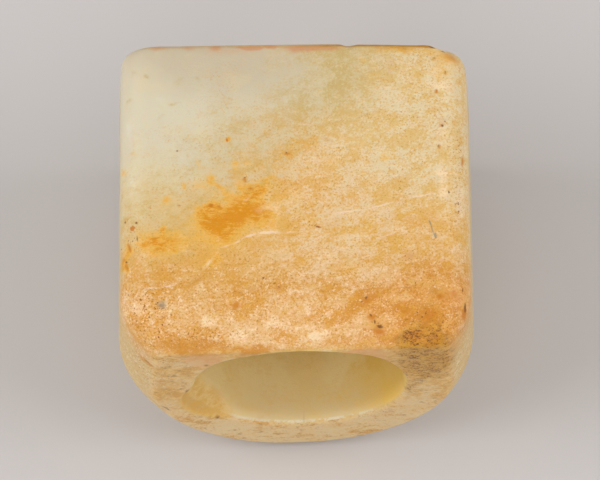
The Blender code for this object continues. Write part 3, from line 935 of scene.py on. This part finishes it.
class JadeSheet(Sheet):  # its steps lay one colour over another, and share these noises
    def __init__(self):
        super().__init__("jade")
        spot = self.add("ShaderNodeTexCoord", output=3)  # Object coordinates
        self.place = self.vector("MULTIPLY", spot, (1 / mm, 1 / mm, 1 / mm))
        xyz = self.add("ShaderNodeSeparateXYZ", {}, {0: self.place}).socket.node
        self.x, self.y, self.z = [Wire(self, xyz.outputs[axis]) for axis in range(3)]
        self.ragged = self.wander(self.wander(self.place, 4.0, 2.6), 0.9, 0.5)
        self.frayed = self.wander(self.place, 0.6, 0.3)
        grain = self.stretched(self.wander(self.place, 5.0, 1.2), (0, 0, 0), (1.25, 0.95, 1), 12)
        self.dabs = self.noise(grain, jade["dabSize"], 5, 0.9)
        aside = self.stretched(grain, (9, 4, 7), (1, 1, 1))
        self.flecks = self.noise(aside, jade["fleckSize"], 5, 0.85)
        self.grit = self.noise(self.place, jade["gritSize"], 2, 0.8)
        self.clouds = self.noise(self.place, jade["cloudSize"])
        self.clusters = self.ramp(self.noise(self.place, jade["clusterSize"], 2), 0.38, 0.60)
        self.inBore = self.mark("bored")
        square = self.y - 0.022 * self.x + 0.8 * (self.dabs - 0.5)
        self.onEnd = self.ramp(square, -14.9, -15.8) * (1 - self.inBore)
        self.onEnd = self.onEnd * self.ramp(self.z + 1.2 * (self.dabs - 0.5), 28.6, 27.7)

    def zone(self, name, far=0.6, most=1.0):
        return self.ramp(self.patch(self.ragged, *zones[name]), 0.0, far, 0, most)

    def layered(self, colour, *layers):
        for share, name in layers:
            colour = self.mix(share, colour, jade[name])
        return colour

    def over(self, share, name):
        self.colour = self.layered(self.colour, (share, name))

    def overBoth(self, share, name, other, otherShare):  # two colours, mixed from place to place
        self.colour = self.mix(share, self.colour, self.mix(otherShare, jade[name], jade[other]))

    def paleStone(self):
        return self.layered(
            jade["pale"],
            (self.zone("grey"), "grey"),
            (self.zone("cream", most=0.7), "cream"),
            (self.ramp(self.clouds, 0.5, 0.7) * 0.35, "cream"),
            (self.ramp(self.flecks, 0.56, 0.70) * 0.25, "cream"),
        )

    def alteredStone(self):  # light stone with dabs of a deeper one
        light = jade["tan"]
        deep = self.mix(self.ramp(self.clouds, 0.40, 0.56), jade["golden"], jade["yellow"])
        for share, lighter, deeper in (
            (self.bevel, "peach", "ochre"),
            (self.corner, "cornerTan", "cornerGolden"),
            (self.khaki, "khaki", "darkKhaki"),
            (self.burnt, "burntTan", "burnt"),
        ):
            light = self.layered(light, (share, lighter))
            deep = self.layered(deep, (share, deeper))
        light = self.layered(light, (self.zone("honey", 0.8, 0.7), "honey"))
        return self.mix(self.ramp(self.dabs + 0.3 * (self.grit - 0.5), 0.60, 0.41), light, deep)

    def layZones(self):  # they fade into one another in dabs
        self.corner, self.khaki, self.burnt = map(self.zone, ("corner", "khaki", "burnt"))
        self.bevel = self.ramp(self.y, -4.5, -11.0) * (1 - self.onEnd)
        self.reach = self.patch(self.ragged, *zones["pale"]) + 0.5 * (self.dabs - 0.5)
        self.unaltered = self.ramp(self.reach, 0.04, 0.34)
        self.colour = self.mix(self.unaltered, self.alteredStone(), self.paleStone())
        fading = self.ramp(self.reach, 0.42, 0.25) * self.ramp(self.reach, 0.0, 0.15)
        self.hazed = fading * (1 - self.khaki)
        self.over(self.hazed * 0.3, "olive")
        self.over(self.ramp(self.z, 29.0, 23.0) * 0.8, "back")

    def layEnd(self):  # streaked, smooth and pink by the thin rim, and sooty on the right
        bands = self.stretched(self.wander(self.place, 1.5, 1.2), (0, 0, 0), (2.2, 2.2, 1))
        self.streaks = self.noise(bands, jade["streakSize"], 4, 0.85) + 0.7 * (self.flecks - 0.5)
        smooth = self.ramp(self.mark("pinked"), 0.1, 0.6) * self.onEnd
        ended = self.layered(
            jade["end"],
            (self.ramp(self.streaks, 0.36, 0.64), "endBrown"),
            (self.ramp(self.z, 18, 8) * 0.7, "endPale"),
            (self.ramp(self.dabs, 0.49, 0.58) * 0.8, "endPale"),
            (self.ramp(self.dabs, 0.47, 0.38) * 0.9, "brown"),
            (self.ramp(self.streaks, 0.59, 0.68) * 0.8, "speck"),
            (smooth * 0.75, "endPink"),
        )
        self.colour = self.mix(self.onEnd * 0.9, self.colour, ended)
        sooted = self.mark("sooted") * (0.2 + self.flecks * 1.6)
        self.sooted = self.ramp(sooted, 0.1, 1.0) * (1 - smooth)
        self.over(self.sooted * 0.75, "endDark")

    def layHole(self):  # paler further in, which is painted light where the hole lies in shade, paler on the left, and golden on the right
        gilt = self.ramp(self.patch(self.place, *zones["gilt"]), 0.0, 0.6)
        gilt = gilt + self.ramp(self.dabs, 0.50, 0.62) * 0.35 + self.ramp(self.clouds, 0.48, 0.62) * 0.3
        bored = self.layered(
            jade["bore"],
            # painted light: paler further into the hole, where it lies in shade, and paler on its left
            (self.ramp(self.y, -15.0, -9.5), "paintedLightBore"),
            (self.ramp(self.x, -3, -9) * 0.6, "paintedLightBore"),
            (gilt * 0.8, "boreGold"),
        )
        self.colour = self.mix(self.inBore, self.colour, bored)

    def layMouth(self):  # the scoop out of it, and a painted highlight along its lower edge, a thin milky line
        self.scooped = self.mark("scooped") * self.ramp(self.flecks, 0.4, 0.6, 0.5, 1)
        self.over(self.scooped, "scoop")
        axis = (ring["boreOffset"] / mm, 0, axisHeight / mm)
        flat = {0: self.stretched(self.place, axis, (1, 1e6, 1))}  # as far out all along Y
        fromAxis = self.add("ShaderNodeVectorMath", {"operation": "LENGTH"}, flat, 1)
        # a painted highlight: a thin milky line along the rounded lower lip of the mouth, where light
        # catches it
        edge = self.ramp(fromAxis, 10.5, 10.6) * self.ramp(fromAxis, 10.78, 10.68)
        edge = edge * self.ramp(self.z, 12, 8) * self.ramp(self.y, -14.6, -15.2) * (1 - self.scooped)
        self.over(edge * self.ramp(self.flecks, 0.44, 0.52) * 0.6, "milkyAndHighlight")

    def layStains(self):  # ochre, amber, and bleached stone with painted highlights and sheen
        self.bare = (1 - self.inBore) * (1 - self.scooped)
        self.uneven = 2.0 * self.flecks + 1.5 * self.dabs - 0.75
        browned = self.ramp(self.mark("browned") * (1.8 * self.uneven - 0.8), 0.05, 0.9, 0, 0.9)
        self.overBoth(browned, "ochreBrown", "oliveBrown", self.unaltered)
        fibres = self.stretched(self.place, (0, 0, 0), (3, 1, 1))
        fibres = self.ramp(self.noise(fibres, jade["fibreSize"], 4, 0.85), 0.38, 0.62)
        stained = self.mark("amber") * (self.uneven - 0.4 + 0.8 * fibres)
        self.over(self.ramp(stained, 0.0, 0.6, 0, 0.85), "amberEdge")
        stained = self.ramp(stained, 0.2, 1.35)
        self.over(stained, "amber")
        # partly bleached stone and partly painted highlights and sheen, white over the altered stone
        # and milky over the pale
        bleachedAndHighlights = self.ramp(self.mark("bleachedAndHighlights") * self.uneven, 0.0, 0.8, 0, 0.8)
        self.overBoth(bleachedAndHighlights, "whiteAndHighlight", "milkyAndHighlight", self.unaltered)
        self.altered = (1 - self.unaltered) * self.bare * (1 - 0.7 * self.onEnd)
        self.altered = self.altered * (1 - 0.85 * self.ramp(stained + 0.6 * browned, 0.2, 0.9))

    def layGrain(self):  # flecks and grit, which reach a little into the pale stone
        fringe = self.ramp(self.reach, 0.55, 0.25) * self.bare * (1 - 0.7 * self.onEnd)
        fringe = fringe * (1 - 0.8 * self.khaki)
        whitish = self.ramp(self.flecks, 0.52, 0.64) * self.altered * (0.25 + 0.3 * self.bevel)
        self.over(whitish * (1 - 0.6 * self.burnt), "whiteAndHighlight")
        flecked = self.ramp(self.flecks, 0.49, 0.36) * fringe * (0.4 + 0.2 * self.bevel)
        self.overBoth(flecked, "honey", "olive", self.hazed)
        gritty = self.ramp(self.grit, 0.50, 0.36) * self.altered
        gritty = gritty * (1 - 0.7 * self.khaki) * (1 - 0.5 * self.corner)
        self.over(gritty * 0.3, "honey")
        thick = 0.1 + 0.8 * self.bevel * self.ramp(self.flecks, 0.42, 0.6)
        self.over(self.ramp(self.grit, 0.56, 0.66) * self.altered * thick, "whiteAndHighlight")
        gritty = self.ramp(self.grit, 0.42, 0.34) * fringe * (0.1 + 0.6 * self.clusters)
        self.over(gritty, "brown")

    def layVeins(self):
        veined = self.patches(self.frayed, fineMarks["veins"])
        veined = self.ramp(veined * (0.2 + 0.8 * self.uneven), 0.0, 0.75, 0, 0.75)
        self.over(veined, "vein")

    def layPlainEdge(self):  # red on the left and gold on the right
        reddened = self.mark("reddened") * (0.4 + self.flecks * 1.2)
        self.over(self.ramp(reddened, 0.0, 0.9, 0, 0.7), "red")
        line = self.ramp(self.y, 15.4, 15.75) * self.ramp(self.dabs, 0.3, 0.6, 0.4, 1)
        line = line * self.ramp(self.x, -1, 4, 0.4, 1)
        gilded = line + self.ramp(self.mark("gilded"), 0.2, 0.9, 0, 0.8)
        self.over(gilded * self.ramp(self.z, 29.6, 30.1), "gold")

    def laySpots(self):  # rust, soot and dirt
        uneven = self.flecks * 1.2 + self.grit * 1.2 - 0.2
        self.over(self.ramp(self.mark("rusted") * uneven, 0.05, 0.8, 0, 0.93), "rust")
        soot = self.streaks + 0.9 * (self.grit - 0.5)
        self.over(self.ramp(soot, 0.46, 0.58) * self.sooted * 0.5, "speck")
        self.over(self.ramp(soot, 0.58, 0.67) * self.sooted, "dirt")
        dirty = self.patches(self.frayed, fineMarks["dirt"]) + self.mark("spotted")
        self.over(self.ramp(dirty, 0.2, 1.1, 0, 0.9), "dirt")

    def layPits(self):  # dark specks, and last the few grey-blue scratches
        peppered = self.altered * (0.2 + 0.35 * self.bevel) * (1 - 0.7 * self.khaki)
        peppered = peppered + self.ramp(self.mark("peppered"), 0.1, 0.8) * self.bare
        self.pits = self.specks(self.place, jade["pitSize"], 0.28, 0.26) * peppered
        self.pits = self.pits * (0.3 + 0.7 * self.clusters)
        self.over(self.pits * 0.9, "speck")
        self.over(self.ramp(self.grit, 0.42, 0.32) * peppered * 0.7, "speck")
        greyed = self.patches(self.frayed, fineMarks["blue"])
        self.over(self.ramp(greyed, 0.1, 0.9, 0, 0.7), "blue")

    def setSurface(self):
        height = self.grit * 0.5 + self.flecks * 0.8 - self.pits
        pitted = {"Strength": jade["pitting"], "Distance": jade["pitDepth"], "Height": height}
        values = {
            "Base Color": self.colour,
            "Roughness": jade["roughness"] + 0.2 * (self.flecks - 0.5),
            "Normal": self.add("ShaderNodeBump", {}, pitted),
            "Specular IOR Level": jade["sheen"],
            "Subsurface Weight": jade["glow"],
            "Subsurface Scale": jade["glowDepth"],
            "Subsurface Radius": jade["glowTint"],
        }
        self.fill(self.shader, values)


def jadePaint():
    sheet = JadeSheet()
    sheet.layZones()
    sheet.layEnd()
    sheet.layHole()
    sheet.layMouth()
    sheet.layStains()
    sheet.layGrain()
    sheet.layVeins()
    sheet.layPlainEdge()
    sheet.laySpots()
    sheet.layPits()
    sheet.setSurface()
    return sheet.material


# The photograph's view: the camera looks down on the front from the bevelled end
view = {
    "imageWidth": 600,
    "focalLength": 5327,  # in pixels of the image
    "sensorWidth": 36,
    "distance": 533.7 * mm,  # to the hole's axis
    "elevation": math.radians(68.3),
    "azimuth": math.radians(0.29),
    "roll": math.radians(-0.84),
    "right": 0.46 * mm,  # the frame's middle from the hole's axis
    "up": 0.13 * mm,
    "nearest": 0.01,  # what the camera sees, in metres
    "farthest": 10,
}


def makeCamera():
    data = bpy.data.cameras.new("camera")
    data.sensor_width = view["sensorWidth"]
    data.lens = view["focalLength"] * data.sensor_width / view["imageWidth"]
    data.clip_start, data.clip_end = view["nearest"], view["farthest"]
    turn = Matrix.Rotation(view["azimuth"], 3, "Z")
    turn @= Matrix.Rotation(math.pi / 2 - view["elevation"], 3, "X")
    turn @= Matrix.Rotation(view["roll"], 3, "Z")
    camera = bpy.data.objects.new("camera", data)
    offset = Vector((view["right"], view["up"], view["distance"]))
    camera.matrix_world = Matrix.Translation(turn @ offset + Vector((0, 0, axisHeight))) @ turn.to_4x4()
    bpy.context.scene.collection.objects.link(camera)
    bpy.context.scene.camera = camera


# Soft lamps over a plain floor, with lengths in metres
studio = {
    "floorSize": 4.0,
    "floorColour": (0.60, 0.57, 0.56, 1),
    "floorRoughness": 0.9,
    "roomLight": 0.43,
    "roomColour": (1.0, 0.99, 0.98),
    "lamps": {
        "left": {"from": (-0.72, -0.12, 0.68), "distance": 0.7, "size": 0.5, "power": 2.3},
        "right": {"from": (0.74, -0.12, 0.66), "distance": 0.7, "size": 0.5, "power": 1.95},
        "front": {"from": (-0.1, -0.8, 0.5), "distance": 0.7, "size": 0.5, "power": 0.8},
    },
}


def floorPaint():
    sheet = Sheet("pale_floor")
    values = {"Base Color": studio["floorColour"], "Roughness": studio["floorRoughness"]}
    sheet.fill(sheet.shader, values)
    return sheet.material


def makeStudio():
    bpy.ops.mesh.primitive_plane_add(size=studio["floorSize"])
    floor = bpy.context.object
    floor.name = "floor"
    floor.data.materials.append(floorPaint())
    for name, lamp in studio["lamps"].items():
        data = bpy.data.lights.new(name, "AREA")
        data.shape = "DISK"
        data.size = lamp["size"]
        data.energy = lamp["power"]
        light = bpy.data.objects.new(name, data)
        way = Vector(lamp["from"]).normalized()
        light.location = way * lamp["distance"]
        light.rotation_euler = way.to_track_quat("Z", "Y").to_euler()
        bpy.context.scene.collection.objects.link(light)
    world = bpy.data.worlds.new("room")
    world.use_nodes = True
    background = world.node_tree.nodes["Background"]
    background.inputs["Color"].default_value = (*studio["roomColour"], 1)
    background.inputs["Strength"].default_value = studio["roomLight"]
    bpy.context.scene.world = world
    bpy.context.scene.view_settings.view_transform = "Standard"


makeCamera()
makeStudio()
print("camera and studio set")
jadeRing = makeRing()
paintMarks(jadeRing.data)
jadeRing.data.materials.append(jadePaint())
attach(jadeRing, "root")
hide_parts("thumb_ring")
print("ring painted")
